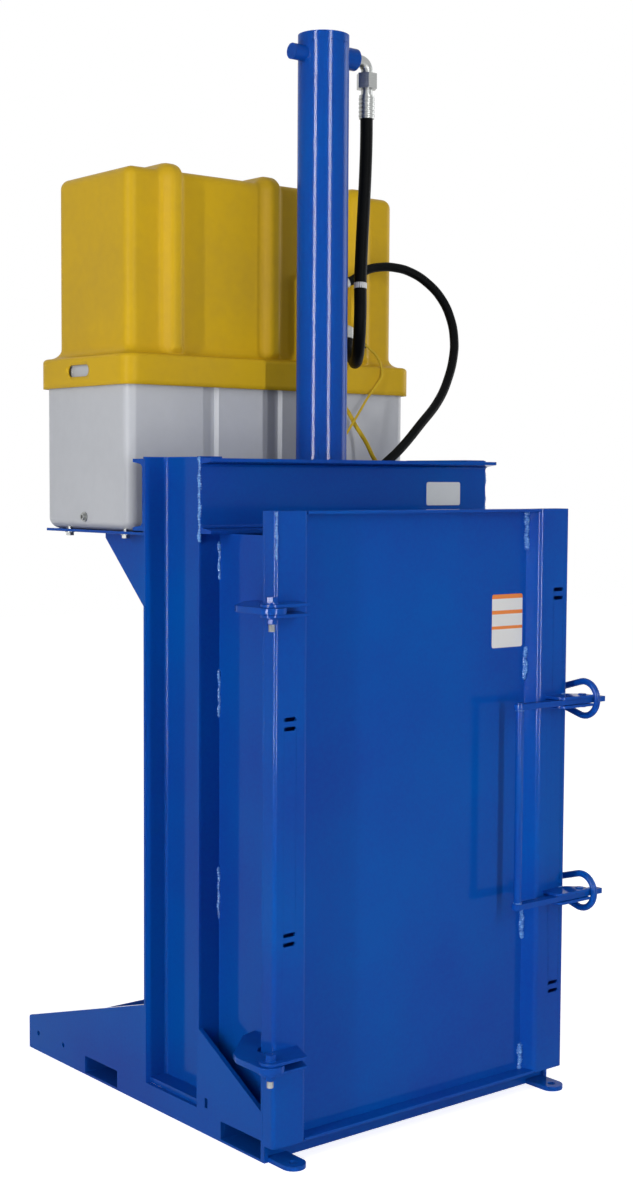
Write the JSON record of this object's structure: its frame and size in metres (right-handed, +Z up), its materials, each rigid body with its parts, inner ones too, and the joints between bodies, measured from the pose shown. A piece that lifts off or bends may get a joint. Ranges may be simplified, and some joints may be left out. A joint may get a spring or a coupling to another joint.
{
  "type": "drum crusher",
  "caption": "Upright hydraulic drum crusher: welded steel frame with a hinged, latched front door, a top cylinder driving a round platen, and a covered power unit on a rear shelf.",
  "frame": {"origin": "on the floor under the ram axis, on the underside of the middle base tube", "axes": "+X to the right seen from the door side, +Y to the rear towards the power unit, +Z up along the ram axis"},
  "size_m": [0.957, 1.0269, 2.302],
  "materials": {
    "blue_paint": "glossy powder coat",
    "yellow_plastic": "satin moulded skin",
    "tub_plastic": "translucent natural plastic",
    "plate_metal": "printed face, left bare",
    "zinc_steel": "zinc plated",
    "machined_steel": "turned and ground",
    "chromed_rod": "ground and chromed",
    "grey_paint": "plain enamel",
    "motor_iron": "painted casting",
    "bare_aluminium": "milled",
    "dark_plastic": "moulded",
    "black_rubber": "woven-wrap hose cover",
    "yellow_rubber": "flexible sheath"
  },
  "bodies": {
    "frame": {"side_plate_left": "blue_paint", "side_plate_right": "blue_paint", "fork_tube_front": "blue_paint", "fork_tube_rear": "blue_paint", "bed_beam": "blue_paint", "bed_plate": "blue_paint", "rear_crossmember": "blue_paint", "anchor_lugs": "blue_paint", "column_left": "blue_paint", "column_right": "blue_paint", "side_wall_left": "blue_paint", "side_wall_right": "blue_paint", "back_wall": "blue_paint", "head_channel_front": "blue_paint", "head_channel_rear": "blue_paint", "head_plate": "blue_paint", "nameplate": "plate_metal", "shelf": "blue_paint", "shelf_gussets": "blue_paint", "shelf_bolts": "zinc_steel", "hinge_plates": "blue_paint", "keeper_plates": "blue_paint", "keeper_hoops": "blue_paint", "tub": "tub_plastic", "drain_plug": "zinc_steel", "cover": "yellow_plastic", "reservoir": "grey_paint", "reservoir_lid": "grey_paint", "motor": "motor_iron", "pump": "motor_iron", "valve_block": "bare_aluminium", "inner_pipes": "zinc_steel", "cylinder_barrel": "blue_paint", "cylinder_cap": "blue_paint", "cylinder_gland": "machined_steel", "mount_bolts_m16": "zinc_steel", "port_bosses": "blue_paint", "upper_elbow": "zinc_steel", "lower_elbow": "zinc_steel", "bulkhead_fittings": "zinc_steel", "limit_switch": "dark_plastic", "cord_glands": "dark_plastic", "upper_hose": "black_rubber", "lower_hose": "black_rubber", "thin_cord": "yellow_rubber", "thick_cord": "yellow_rubber"},
    "door": {"door_panel": "blue_paint", "door_member_left": "blue_paint", "door_member_right": "blue_paint", "door_lips": "blue_paint", "door_leaves": "blue_paint", "latch_brackets": "blue_paint", "door_bolts": "blue_paint", "door_nuts": "blue_paint"},
    "latch": {"latch_levers": "blue_paint", "latch_rod": "blue_paint"},
    "ram": {"piston": "machined_steel", "ram_rod": "chromed_rod", "platen": "blue_paint", "cross_pin": "machined_steel"}
  },
  "joints": [
    {"name": "door_hinge", "type": "hinge", "parent": "frame", "child": "door", "pos_m": [-0.451, -0.409, 0.663], "axis": [0, 0, -1], "range_deg": [0, 175]},
    {"name": "latch_swing", "type": "hinge", "parent": "door", "child": "latch", "pos_m": [0.416, -0.4, 0.65], "axis": [0, 0, 1], "range_deg": [0, 90]},
    {"name": "ram_slide", "type": "slide", "parent": "frame", "child": "ram", "axis": [0, 0, -1], "range_m": [0, 0.78]}
  ]
}
